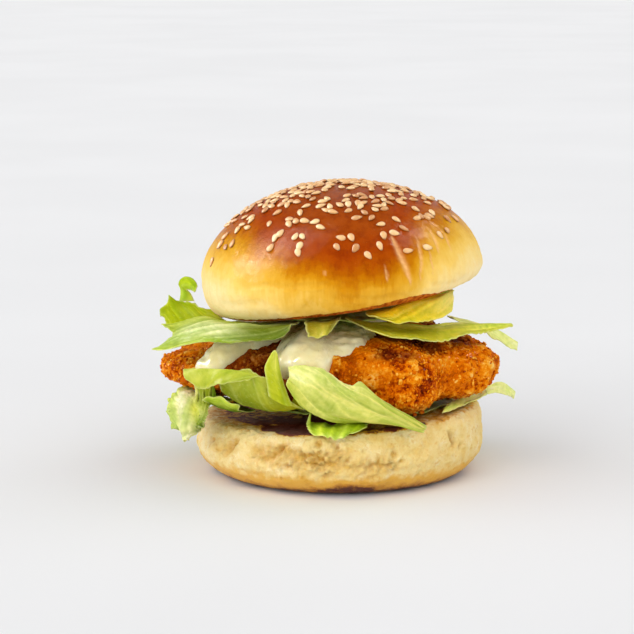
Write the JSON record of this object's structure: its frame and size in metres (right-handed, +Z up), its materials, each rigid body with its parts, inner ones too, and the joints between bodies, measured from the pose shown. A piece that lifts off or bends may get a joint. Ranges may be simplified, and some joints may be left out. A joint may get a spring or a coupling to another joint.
{
  "type": "shrimp cutlet burger",
  "caption": "Burger: a breaded shrimp cutlet with mayonnaise and torn iceberg lettuce between a sesame bun's cut halves, standing on its flat foot.",
  "frame": {"origin": "centre of the bottom bun's flat foot, on the surface that the burger stands on", "axes": "+Z up through the stack, the side that shows best faces -Y, +X to its right"},
  "size_m": [0.1298, 0.1169, 0.1019],
  "materials": {
    "crust": "glossy baked crust, mahogany on top to pale at the lip, with cream sesame seeds",
    "crumb": "dull porous bread, toasted dark on the cut face",
    "breading": "rough fried breadcrumb",
    "mayonnaise": "glossy cream sauce",
    "lettuce": "satin leaf, pale rib to bright green edge"
  },
  "bodies": {
    "root": {"bun_crown": "crust", "bun_heel": "crumb", "cutlet": "breading", "mayonnaise": "mayonnaise", "lettuce_back_bunch": "lettuce", "lettuce_back_left": "lettuce", "lettuce_front_scrap": "lettuce", "lettuce_left_fold": "lettuce", "lettuce_left_frill": "lettuce", "lettuce_left_knob": "lettuce", "lettuce_low_back": "lettuce", "lettuce_low_back_left": "lettuce", "lettuce_low_left": "lettuce", "lettuce_low_left_curl": "lettuce", "lettuce_low_left_flap": "lettuce", "lettuce_low_left_frill": "lettuce", "lettuce_low_right": "lettuce", "lettuce_low_scrap": "lettuce", "lettuce_low_spike": "lettuce", "lettuce_low_sweep": "lettuce", "lettuce_lower_layer": "lettuce", "lettuce_right_blade": "lettuce", "lettuce_right_bunch": "lettuce", "lettuce_right_strip": "lettuce", "lettuce_upper_layer": "lettuce"}
  },
  "joints": []
}
